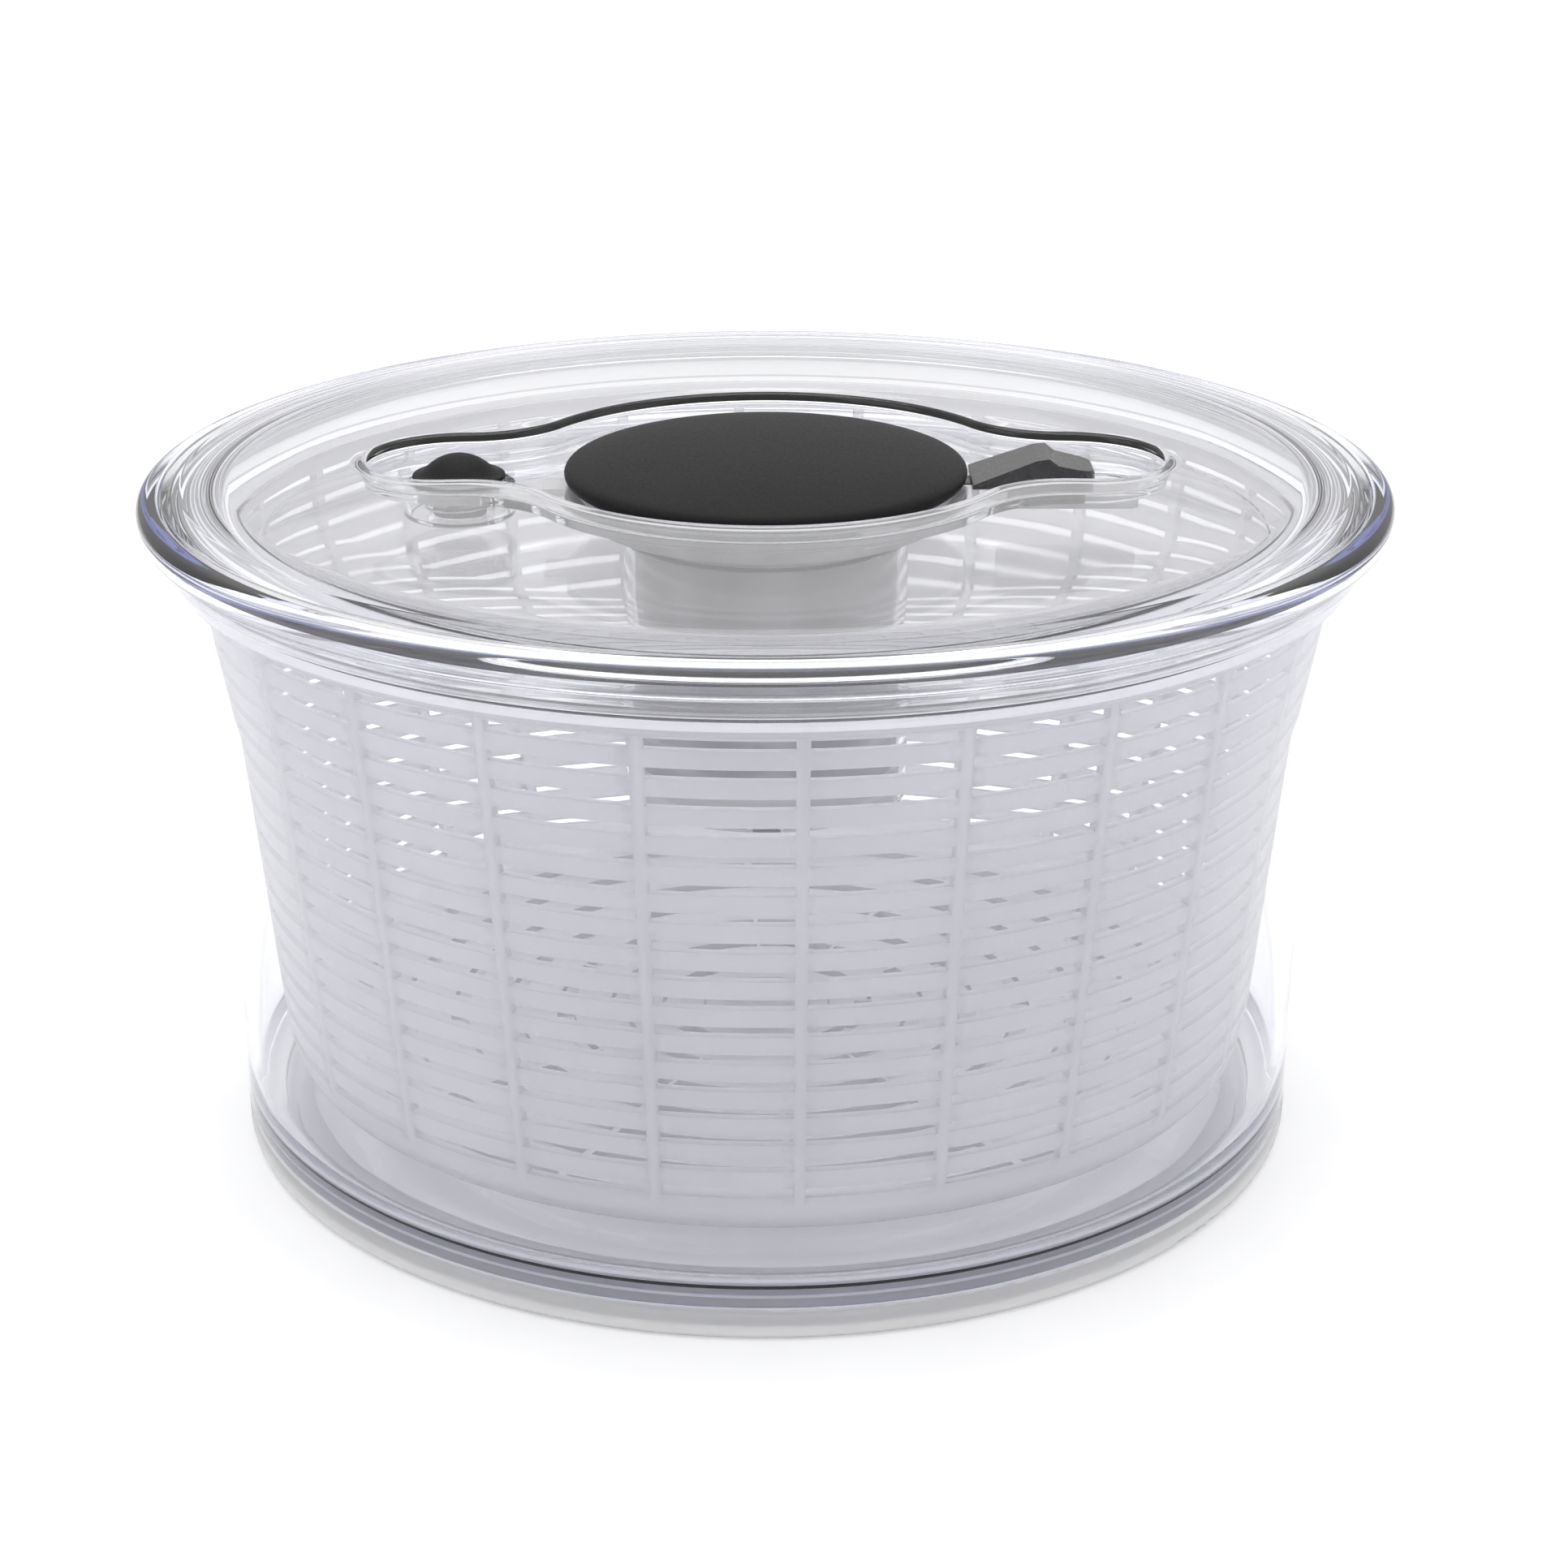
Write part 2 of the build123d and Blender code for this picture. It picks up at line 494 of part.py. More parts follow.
with BuildPart() as plunger_sleeve:
    with BuildSketch(Plane.XZ):
        outline((SLEEVE_R - SLEEVE_T, SLEEVE_LOW_Z, 0.3), (STOP_R, SLEEVE_LOW_Z, 0.4),
                (STOP_R, SLEEVE_LOW_Z + STOP_H, 0.4), (SLEEVE_R, SLEEVE_LOW_Z + STOP_H, 0),
                (SLEEVE_R, core_low, 0), (SLEEVE_R - SLEEVE_T, core_low, 0))
    revolve(axis=Axis.Z)
save(plunger_sleeve, "plunger_sleeve")

with BuildPart() as drive_tube:
    with BuildSketch(Plane.XZ):
        outline((TUBE_R - TUBE_T, NUT_Z[0], 0.3), (TUBE_R, NUT_Z[0], 0.3), (TUBE_R, core_low, 0),
                (TUBE_R - TUBE_T, core_low, 0))
    revolve(axis=Axis.Z)
save(drive_tube, "drive_tube")

# The nut's hole is the spindle's own twisted square with a gap all round, so the two stay in step.
nut_start = 360 * (NUT_Z[0] - NUT_MARGIN - SPINDLE_HELIX_Z) / LEAD
with BuildPart() as drive_nut:
    with BuildSketch(Plane.XY.offset(NUT_Z[0])):
        Circle(TUBE_R - TUBE_T)
    extrude(amount=NUT_Z[1] - NUT_Z[0])
    add(twisted_square(SQUARE_SIDE + 2 * NUT_GAP, NUT_Z[0] - NUT_MARGIN, NUT_Z[1] + NUT_MARGIN, nut_start),
        mode=Mode.SUBTRACT)
save(drive_nut, "drive_nut")

with BuildPart() as return_spring:
    coil(SPRING_MEAN_R, SPRING_WIRE_R, *SPRING_Z, SPRING_TURNS)
save(return_spring, "return_spring")

# ---------------------------------------------------------------- brake button
brake_axis = Plane((BRAKE_X, 0, 0), x_dir=(1, 0, 0), z_dir=(0, -1, 0))
brake_line = Axis((BRAKE_X, 0, 0), (0, 0, 1))
guide_floor = GUIDE_LOW_Z + GUIDE_FLOOR_T
floor_under = RECESS_FLOOR_Z - RECESS_FLOOR_T
with BuildPart() as brake_guide:
    with BuildSketch(brake_axis):
        outline((PAD_R + TINY, GUIDE_LOW_Z, 0), (GUIDE_R, GUIDE_LOW_Z, 0.6), (GUIDE_R, floor_under, 0),
                (GUIDE_BORE_R, floor_under, 0), (GUIDE_BORE_R, guide_floor, 0.3),
                (PAD_R + TINY, guide_floor, 0))
    revolve(axis=brake_line)
save(brake_guide, "brake_guide")

brim_low, brim_top, dome_top = BUTTON_Z
with BuildPart() as brake_button:
    with BuildSketch(brake_axis):
        with BuildLine():
            Polyline((0, dome_top), (0, brim_low), (BUTTON_BRIM_R - 0.5, brim_low))
            ThreePointArc((BUTTON_BRIM_R - 0.5, brim_low), (BUTTON_BRIM_R, (brim_low + brim_top) / 2 - 0.1),
                          (BUTTON_BRIM_R - 0.4, brim_top - 0.2))
            Spline((BUTTON_BRIM_R - 0.4, brim_top - 0.2), (BUTTON_DOME_R, brim_top + 1.5), (0, dome_top),
                   tangents=[(-1, 0.15), (-1, 0)])
        make_face()
    revolve(axis=brake_line)
save(brake_button, "brake_button")

web_low = brim_low - STEM_T
with BuildPart() as brake_stem:
    with BuildSketch(brake_axis):
        outline((0, PAD_Z[1], 0), (POST_R, PAD_Z[1], 0.3), (POST_R, web_low, 0.3),
                (STEM_R - STEM_T, web_low, 0.3), (STEM_R - STEM_T, STEM_LOW_Z, 0), (STEM_R, STEM_LOW_Z, 0),
                (STEM_R, brim_low, 0), (0, brim_low, 0))
    revolve(axis=brake_line)
    with BuildSketch(Plane((BRAKE_X, 0, STEM_LOW_Z))):
        with PolarLocations(STEM_R, NOTCH_COUNT):
            Rectangle(3 * STEM_T, NOTCH_W)
    extrude(amount=NOTCH_H, mode=Mode.SUBTRACT)
save(brake_stem, "brake_stem")

with BuildPart() as brake_pad:
    with BuildSketch(brake_axis):
        outline((0, PAD_Z[0], 0), (PAD_R, PAD_Z[0], 0.8), (PAD_R, PAD_Z[1], 0.4), (0, PAD_Z[1], 0))
    revolve(axis=brake_line)
save(brake_pad, "brake_pad")

with BuildPart() as brake_coil:
    coil(BRAKE_SPRING_R, BRAKE_WIRE_R, guide_floor + TINY / 3, web_low - TINY / 3, BRAKE_TURNS)
with BuildPart() as brake_spring:
    add(brake_coil.part.moved(Location((BRAKE_X, 0, 0))))
save(brake_spring, "brake_spring")

# ---------------------------------------------------------------- lock slide
slot_gap_w = LOCK_SLOT_W - 2 * TINY
with BuildPart() as lock_guide:
    with BuildSketch(Plane.XY.offset(CHANNEL_LOW_Z)):
        with Locations((sum(CHANNEL_X) / 2, 0)):
            RectangleRounded(CHANNEL_X[1] - CHANNEL_X[0], CHANNEL_W, 2.0)
    extrude(amount=floor_under - CHANNEL_LOW_Z)
    offset(amount=-CHANNEL_T, openings=lock_guide.faces().sort_by(Axis.Z)[-1])
save(lock_guide, "lock_guide")

with BuildPart() as lock_slide:
    with BuildSketch(Plane.XZ):
        with BuildLine():
            FilletPolyline((LOCK_TAB[0][0], LOCK_LOW_Z), *LOCK_TAB, (LOCK_TAB[-1][0], LOCK_LOW_Z),
                           radius=[0.2, 8.0, 0.8, 0.6, 0.8, 4.0, 1.2])
            Line((LOCK_TAB[-1][0], LOCK_LOW_Z), (LOCK_TAB[0][0], LOCK_LOW_Z))
        make_face()
    extrude(amount=LOCK_W / 2, both=True)
    with BuildSketch(Plane.XY.offset(LOCK_LOW_Z)):
        (tab_in, _), (tab_out, _) = LOCK_TAB[0], LOCK_TAB[-1]
        outline((tab_in, -LOCK_W / 2, 0), (tab_out, -LOCK_END_W / 2, 4.0), (tab_out, LOCK_END_W / 2, 4.0),
                (tab_in, LOCK_W / 2, 0))
    extrude(amount=LOCK_W, mode=Mode.INTERSECT)
    with BuildSketch(Plane.XZ):
        with BuildLine():
            Polyline((TONGUE_X[0], TONGUE_Z[0]), (TONGUE_X[1], TONGUE_Z[0]), (TONGUE_X[1], LOCK_LOW_Z + 0.4),
                     (LOCK_TAB[0][0] + 0.5, LOCK_LOW_Z + 0.4), (LOCK_TAB[0][0], TONGUE_Z[1]),
                     (TONGUE_X[0], TONGUE_Z[1]), close=True)
        make_face()
    extrude(amount=slot_gap_w / 2, both=True)
save(lock_slide, "lock_slide")

with BuildPart() as lock_shoe:
    with BuildSketch(Plane.XY.offset(SHOE_LOW_Z)):
        with Locations((sum(SHOE_X) / 2, 0)):
            RectangleRounded(SHOE_X[1] - SHOE_X[0], slot_gap_w, 1.0)
    extrude(amount=LOCK_LOW_Z - SHOE_LOW_Z)
save(lock_shoe, "lock_shoe")
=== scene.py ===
"""Looks of the salad spinner: smooth meshes and moulded-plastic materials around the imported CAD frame.

Everything is in metres in the frame's own axes: +Z up, the axis of the spin at x = y = 0.
Profiles are written in millimetres, because they repeat the CAD's dimensions, and are scaled once by MM.
"""
import math

import bmesh
import bpy
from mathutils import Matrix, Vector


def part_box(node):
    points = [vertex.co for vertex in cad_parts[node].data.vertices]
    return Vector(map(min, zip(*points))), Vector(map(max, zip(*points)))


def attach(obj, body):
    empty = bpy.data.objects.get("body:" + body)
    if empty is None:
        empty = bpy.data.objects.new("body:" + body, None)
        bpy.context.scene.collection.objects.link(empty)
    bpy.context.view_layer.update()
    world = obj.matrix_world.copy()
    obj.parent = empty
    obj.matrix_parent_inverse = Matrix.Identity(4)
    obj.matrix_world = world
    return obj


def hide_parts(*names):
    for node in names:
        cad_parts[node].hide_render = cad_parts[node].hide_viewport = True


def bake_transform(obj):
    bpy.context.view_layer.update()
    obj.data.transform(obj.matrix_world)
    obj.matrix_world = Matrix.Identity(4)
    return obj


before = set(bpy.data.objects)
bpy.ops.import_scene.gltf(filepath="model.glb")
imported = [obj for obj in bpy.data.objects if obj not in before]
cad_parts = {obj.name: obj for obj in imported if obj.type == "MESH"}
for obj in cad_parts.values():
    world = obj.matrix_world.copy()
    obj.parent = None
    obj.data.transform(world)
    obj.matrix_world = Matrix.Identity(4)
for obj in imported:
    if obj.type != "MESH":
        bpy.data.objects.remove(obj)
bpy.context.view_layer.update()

MM = 0.001
TURN = 2 * math.pi

# ------------------------------------------------------------------ dimensions, in millimetres
_, bowl_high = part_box("bowl")
basket_low, basket_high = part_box("basket")
lid_low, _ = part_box("lid_shell")

FLANGE_R = bowl_high.x / MM
RIM_TOP = bowl_high.z / MM
BASE_R = 117.9
FLARE_Z, FLARE_R = 20.0, 555.0       # the wall is straight up to FLARE_Z, then an arc of radius FLARE_R
WALL = 2.6
FLOOR_Z = 9.8
UNDER_Z = 7.0
KEY_IN_R, KEY_OUT_R, KEY_LOW = 108.0, 110.0, 3.0    # ring under the bowl that sits in the foot ring
SINK = 0.04               # the bowl reaches this far into its foot ring, so that no two faces coincide
LEDGE_Z, LEDGE_R, MOUTH_R = 140.4, 126.9, 128.5
LEDGE_SLOPE = (0.4, 3.0)  # from the ledge's edge, inwards and down, to where the wall starts to thin
THICKEN_Z = 112.0
FLANGE_LOW = 138.4
PIVOT_FOOT_R, PIVOT_TIP_R, PIVOT_TOP = 7.0, 3.0, 19.0

LIP_Z = basket_high.z / MM
BASKET_LOW = basket_low.z / MM
BASKET_R0, BASKET_TAPER = 105.5, 0.1
BASKET_WALL = 2.0
BASKET_CORNER = 7.0
SLOT_TOP, SLOT_PITCH, SLOT_H, SLOT_ROWS = 126.8, 6.1, 2.2, 17
WALL_SLOTS = [(SLOT_TOP - row * SLOT_PITCH - SLOT_H, SLOT_TOP - row * SLOT_PITCH)
              for row in reversed(range(SLOT_ROWS))]        # low and high edge of each row, lowest row first
RIBS, RIB_W, RIB_PROUD, RIB_ANGLE = 24, 2.4, 0.35, -86.7
RIB_FLANK = 0.35          # width of a rib's sloping side
RIB_MIDDLE_Z = 75.0       # height at which a rib has its stated width
RIB_BELOW, RIB_ABOVE = 3.0, 1.0      # how far the ribs run past the lowest and the highest slots
RIB_CELLS, GAP_CELLS = 3, 9          # cells of the shell across a rib, and between two ribs
ROLL_DEPTH = 3.6          # the rolled lip starts this far below its top
# the roll: extra thickness as a share of the wall's, depth below the top, shift of the inner face inwards
ROLL = ((0.7, 3.0, 0.0), (1.9, 1.6, 0.0), (2.15, 0.9, 0.0), (1.9, 0.3, 0.25), (1.3, 0.02, 0.25))
FLOOR_HOLE_R = 14.0
FLOOR_RINGS = (22.0, 34.0, 46.0, 58.0, 70.0, 82.0, 94.0)
FLOOR_SLOT_W = 4.0
FLOOR_SLOTS = [(ring - FLOOR_SLOT_W / 2, ring + FLOOR_SLOT_W / 2) for ring in FLOOR_RINGS]
BOSS_R, BOSS_NECK_R, BOSS_TOP_R, BOSS_BORE_R = 14.2, 9.6, 8.0, 4.8
BOSS_TOP, BOSS_ROOF = 22.0, 19.5

LID_T = 2.2
LIP_OUT_R = 128.1
EDGE_Z = 145.2
SHOULDER, DOME_SLOPE = (124.0, 146.4), 0.023
PLATE_CORNER = 9.0
PLATE_R = 100.0           # outside this radius the lid's section is the same all round
LIP_GAP = 0.3             # between the lid's lip and the bowl's ledge
SKIRT_R, SKIRT_T, SKIRT_LOW = 124.4, 1.7, lid_low.z / MM
RECESS_R, RECESS_Z, RECESS_T, RECESS_WALL = 52.0, 142.0, 2.0, 2.0
LOBE_X, LOBE_R, THROAT_R = 68.0, 16.6, 24.0
LEAN = math.tan(math.radians(14.0))
TOP_SOFT, UNDER_SOFT = 1.3, 0.9      # roundings of the recess wall on its two faces
HOLE_R = 41.2
BRAKE_X, BRAKE_HOLE_R = -66.0, 10.6
SLOT_START, SLOT_END, SLOT_W = HOLE_R - 6.0, 78.6, 7.0
CUT_REACH = 6.0           # the cutters reach this far above and below the recess floor's top


# ------------------------------------------------------------------ mesh helpers
def rounded(corners, steps=6, closed=True):
    """Points of an outline given as (r, z, rounding) corners, with an arc at each rounded corner."""
    points = []
    count = len(corners)
    for i, (x, y, radius) in enumerate(corners):
        at_end = not closed and i in (0, count - 1)
        if radius == 0 or at_end:
            points.append((x, y))
            continue
        ax, ay = corners[i - 1][0] - x, corners[i - 1][1] - y
        bx, by = corners[(i + 1) % count][0] - x, corners[(i + 1) % count][1] - y
        a_len, b_len = math.hypot(ax, ay), math.hypot(bx, by)
        ax, ay, bx, by = ax / a_len, ay / a_len, bx / b_len, by / b_len
        half = math.acos(max(-1.0, min(1.0, ax * bx + ay * by))) / 2
        reach = radius / math.tan(half)
        mx, my = ax + bx, ay + by
        m_len = math.hypot(mx, my)
        away = radius / math.sin(half)
        cx, cy = x + mx / m_len * away, y + my / m_len * away
        start = math.atan2(y + ay * reach - cy, x + ax * reach - cx)
        stop = math.atan2(y + by * reach - cy, x + bx * reach - cx)
        sweep = (stop - start + math.pi) % TURN - math.pi
        for k in range(steps + 1):
            angle = start + sweep * k / steps
            points.append((cx + radius * math.cos(angle), cy + radius * math.sin(angle)))
    return points


SHARP_DEG = 40.0          # edges that turn more than this are shaded as sharp


def add_mesh(name, verts, faces, sharp_deg=SHARP_DEG):
    """A mesh object from points in millimetres, welded, facing outwards and smooth except at sharp edges."""
    mesh = bpy.data.meshes.new(name)
    mesh.from_pydata([(x * MM, y * MM, z * MM) for x, y, z in verts], [], faces)
    work = bmesh.new()
    work.from_mesh(mesh)
    bmesh.ops.remove_doubles(work, verts=work.verts, dist=1e-7)
    bmesh.ops.dissolve_degenerate(work, edges=work.edges, dist=1e-8)
    bmesh.ops.recalc_face_normals(work, faces=work.faces)
    work.to_mesh(mesh)
    work.free()
    mesh.shade_smooth()
    mesh.set_sharp_from_angle(angle=math.radians(sharp_deg))
    piece = bpy.data.objects.new(name, mesh)
    bpy.context.scene.collection.objects.link(piece)
    return piece


def lathe(name, outline, segments=288, x0=0.0):
    """Revolve a closed (r, z) outline about the vertical line at x0."""
    count = len(outline)
    verts, faces = [], []
    for j in range(segments):
        c, s = math.cos(TURN * j / segments), math.sin(TURN * j / segments)
        verts += [(x0 + r * c, r * s, z) for r, z in outline]
        k = (j + 1) % segments
        faces += [(j * count + i, j * count + (i + 1) % count, k * count + (i + 1) % count, k * count + i)
                  for i in range(count)]
    return add_mesh(name, verts, faces)


def carve(piece, cutter):
    """Cut one mesh out of another and drop the cutter."""
    cut = piece.modifiers.new("cut", "BOOLEAN")
    cut.operation = "DIFFERENCE"
    cut.solver = "EXACT"
    cut.object = cutter
    bpy.context.view_layer.objects.active = piece
    bpy.ops.object.modifier_apply(modifier=cut.name)
    bpy.data.objects.remove(cutter, do_unlink=True)
    piece.data.shade_smooth()
    piece.data.set_sharp_from_angle(angle=math.radians(SHARP_DEG))


def dress(piece, body, slot, material, *nodes):
    """Give a new piece its body, its material and the CAD nodes that it stands for; the slot argument is not
    used.
    """
    piece.data.materials.clear()
    piece.data.materials.append(material)
    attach(piece, body)
    if nodes:
        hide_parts(*nodes)


def finish_node(name, material):
    """Put a material on a CAD node that keeps its own shape."""
    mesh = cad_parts[name].data
    mesh.materials.clear()
    mesh.materials.append(material)


# ------------------------------------------------------------------ materials
def new_material(name):
    """A material with its Principled shader and the output node."""
    material = bpy.data.materials.new(name)
    material.use_nodes = True
    nodes = material.node_tree.nodes
    return material, nodes, material.node_tree.links, nodes["Principled BSDF"], nodes["Material Output"]


def grain(nodes, links, scale, detail=3.0):
    """Object-space noise: the fine unevenness of a moulded surface."""
    where = nodes.new("ShaderNodeTexCoord")
    noise = nodes.new("ShaderNodeTexNoise")
    noise.inputs["Scale"].default_value = scale
    noise.inputs["Detail"].default_value = detail
    links.new(where.outputs["Object"], noise.inputs["Vector"])
    return noise


def spread(nodes, links, source, low, high):
    """Map the usual reach of a noise, 0.3 to 0.7, to a range of values."""
    ranged = nodes.new("ShaderNodeMapRange")
    ranged.inputs["From Min"].default_value = 0.3
    ranged.inputs["From Max"].default_value = 0.7
    ranged.inputs["To Min"].default_value = low
    ranged.inputs["To Max"].default_value = high
    links.new(source.outputs["Fac"], ranged.inputs["Value"])
    return ranged


def tint(nodes, links, source, dark, light):
    """Colour that drifts between two close shades with a noise."""
    ramp = nodes.new("ShaderNodeValToRGB")
    ramp.color_ramp.elements[0].position = 0.35
    ramp.color_ramp.elements[0].color = (*dark, 1.0)
    ramp.color_ramp.elements[1].position = 0.65
    ramp.color_ramp.elements[1].color = (*light, 1.0)
    links.new(source.outputs["Fac"], ramp.inputs["Fac"])
    return ramp


def streaks(nodes, links, scale):
    """Noise drawn out along the height: the shade of the ribs inside a milky tube."""
    where = nodes.new("ShaderNodeTexCoord")
    squash = nodes.new("ShaderNodeMapping")
    squash.inputs["Scale"].default_value = (1.0, 1.0, 0.02)
    noise = nodes.new("ShaderNodeTexNoise")
    noise.inputs["Scale"].default_value = scale
    noise.inputs["Detail"].default_value = 1.0
    links.new(where.outputs["Object"], squash.inputs["Vector"])
    links.new(squash.outputs["Vector"], noise.inputs["Vector"])
    return noise


def roughen(nodes, links, shader, source, distance, strength):
    """Bump from a noise, as deep as the given distance in metres."""
    bump = nodes.new("ShaderNodeBump")
    bump.inputs["Distance"].default_value = distance
    bump.inputs["Strength"].default_value = strength
    links.new(source.outputs["Fac"], bump.inputs["Height"])
    links.new(bump.outputs["Normal"], shader.inputs["Normal"])


def solid_plastic(name, dark, light, rough, scale, bump, banded=False, **sockets):
    """Opaque or milky moulded plastic or rubber, with drifting colour, roughness and a fine surface."""
    material, nodes, links, shader, _ = new_material(name)
    fine = grain(nodes, links, scale)
    broad = streaks(nodes, links, scale=70.0) if banded else grain(nodes, links, scale=18.0, detail=2.0)
    links.new(tint(nodes, links, broad, dark, light).outputs["Color"], shader.inputs["Base Color"])
    links.new(spread(nodes, links, fine, *rough).outputs["Result"], shader.inputs["Roughness"])
    roughen(nodes, links, shader, fine, distance=bump, strength=0.6)
    for socket, value in sockets.items():
        shader.inputs[socket.replace("_", " ")].default_value = value
    return material


def clear_plastic(name, absorb, density, rough):
    """Clear polished plastic, tinted where it is thick.

    Light passes straight through it on the way to a lamp, so it casts only a faint shade."""
    material, nodes, links, shader, output = new_material(name)
    shader.inputs["Base Color"].default_value = (0.985, 0.985, 0.99, 1.0)
    shader.inputs["Transmission Weight"].default_value = 1.0
    shader.inputs["IOR"].default_value = 1.5
    flow = grain(nodes, links, scale=35.0, detail=2.0)
    links.new(spread(nodes, links, flow, *rough).outputs["Result"], shader.inputs["Roughness"])
    roughen(nodes, links, shader, flow, distance=0.00004, strength=0.25)
    path = nodes.new("ShaderNodeLightPath")
    through = nodes.new("ShaderNodeBsdfTransparent")
    through.inputs["Color"].default_value = (0.97, 0.97, 0.98, 1.0)
    either = nodes.new("ShaderNodeMixShader")
    links.new(path.outputs["Is Shadow Ray"], either.inputs["Fac"])
    links.new(shader.outputs["BSDF"], either.inputs[1])
    links.new(through.outputs["BSDF"], either.inputs[2])
    links.new(either.outputs["Shader"], output.inputs["Surface"])
    inside = nodes.new("ShaderNodeVolumeAbsorption")
    inside.inputs["Color"].default_value = (*absorb, 1.0)
    inside.inputs["Density"].default_value = density
    links.new(inside.outputs["Volume"], output.inputs["Volume"])
    return material


bowl_clear = clear_plastic("bowl_clear", absorb=(0.74, 0.77, 0.97), density=28.0, rough=(0.0, 0.02))
lid_clear = clear_plastic("lid_clear", absorb=(0.86, 0.87, 0.93), density=16.0, rough=(0.0, 0.02))
table_clear = clear_plastic("turntable_clear", absorb=(0.90, 0.90, 0.93), density=18.0, rough=(0.01, 0.04))
basket_milky = solid_plastic("basket_milky", dark=(0.90, 0.90, 0.92), light=(0.935, 0.935, 0.95),
                             rough=(0.42, 0.52), scale=260.0, bump=0.00002,
                             Transmission_Weight=0.5, IOR=1.4)
hub_milky = solid_plastic("hub_milky", dark=(0.62, 0.62, 0.64), light=(0.86, 0.86, 0.88),
                          rough=(0.34, 0.42), scale=240.0, bump=0.00001, banded=True,
                          Transmission_Weight=0.45, IOR=1.4)
stem_grey = solid_plastic("stem_grey", dark=(0.50, 0.50, 0.51), light=(0.58, 0.58, 0.59),
                          rough=(0.34, 0.42), scale=400.0, bump=0.00001)
foot_milky = solid_plastic("foot_milky", dark=(0.96, 0.96, 0.965), light=(0.98, 0.98, 0.985),
                           rough=(0.30, 0.4), scale=300.0, bump=0.00002,
                           Transmission_Weight=0.75, IOR=1.4)
grip_black = solid_plastic("grip_black", dark=(0.008, 0.008, 0.009), light=(0.012, 0.012, 0.013),
                           rough=(0.50, 0.60), scale=1400.0, bump=0.00003, Specular_IOR_Level=0.16)
satin_black = solid_plastic("satin_black", dark=(0.03, 0.03, 0.031), light=(0.045, 0.045, 0.046),
                            rough=(0.22, 0.30), scale=500.0, bump=0.00001)
core_black = solid_plastic("core_black", dark=(0.02, 0.02, 0.02), light=(0.03, 0.03, 0.03),
                           rough=(0.4, 0.5), scale=500.0, bump=0.00002)
acetal = solid_plastic("acetal_white", dark=(0.74, 0.74, 0.72), light=(0.80, 0.80, 0.78),
                       rough=(0.32, 0.42), scale=420.0, bump=0.00002)
pad_grey = solid_plastic("pad_grey", dark=(0.20, 0.20, 0.21), light=(0.26, 0.26, 0.27),
                         rough=(0.6, 0.75), scale=700.0, bump=0.00005)
spring_steel = solid_plastic("spring_steel", dark=(0.52, 0.52, 0.54), light=(0.64, 0.64, 0.66),
                             rough=(0.18, 0.30), scale=900.0, bump=0.00001, Metallic=1.0)


# ------------------------------------------------------------------ bowl
def bowl_r(z):
    """Outer radius of the bowl's wall: straight, then a tangent arc."""
    rise = max(0.0, z - FLARE_Z)
    return BASE_R + FLARE_R - math.sqrt(FLARE_R ** 2 - rise ** 2)


def make_bowl():
    """Clear bowl: flared wall, thick rounded rim with the lid's ledge, floor with the pivot cone."""
    steps = 24
    up = [FLARE_Z + (FLANGE_LOW - FLARE_Z) * k / steps for k in range(1, steps)]
    down = [THICKEN_Z - (THICKEN_Z - FLARE_Z) * k / steps for k in range(1, steps + 1)]
    outside = [(bowl_r(z), z, 0) for z in up]
    inside = [(bowl_r(z) - WALL, z, 0) for z in down]
    under = UNDER_Z - SINK
    key_in, key_out, key_low = KEY_IN_R - SINK, KEY_OUT_R + SINK, KEY_LOW - SINK
    corners = [(0, under, 0), (key_in, under, 0), (key_in, key_low, 0), (key_out, key_low, 0),
               (key_out, under, 0), (BASE_R, under, 1.2), *outside,
               (bowl_r(FLANGE_LOW), FLANGE_LOW, 1.6), (FLANGE_R, FLANGE_LOW, 2.2), (FLANGE_R, RIM_TOP, 2.6),
               (MOUTH_R, RIM_TOP, 0.8), (MOUTH_R, LEDGE_Z, 0), (LEDGE_R, LEDGE_Z, 0.5),
               (LEDGE_R - LEDGE_SLOPE[0], LEDGE_Z - LEDGE_SLOPE[1], 2.0),
               (bowl_r(THICKEN_Z) - WALL, THICKEN_Z, 0), *inside, (BASE_R - WALL, FLOOR_Z, 6.0),
               (PIVOT_FOOT_R, FLOOR_Z, 2.0), (PIVOT_TIP_R, PIVOT_TOP, 1.2), (0, PIVOT_TOP, 0)]
    bowl = lathe("bowl_clear_shell", rounded(corners))
    dress(bowl, "bowl", "clear_plastic", bowl_clear, "bowl")


# ------------------------------------------------------------------ basket
def basket_r(z):
    """Outer radius of the basket's wall."""
    return BASKET_R0 + BASKET_TAPER * z


def stations(edges, longest):
    """Cut positions along a line: the given edges and even divisions between them."""
    cuts = []
    for a, b in zip(edges, edges[1:]):
        parts = max(1, math.ceil(abs(b - a) / longest))
        cuts += [a + (b - a) * k / parts for k in range(parts)]
    return cuts + [edges[-1]]


SHELL_SHARP_DEG = 50.0    # the same for the basket, whose slots have softened edges


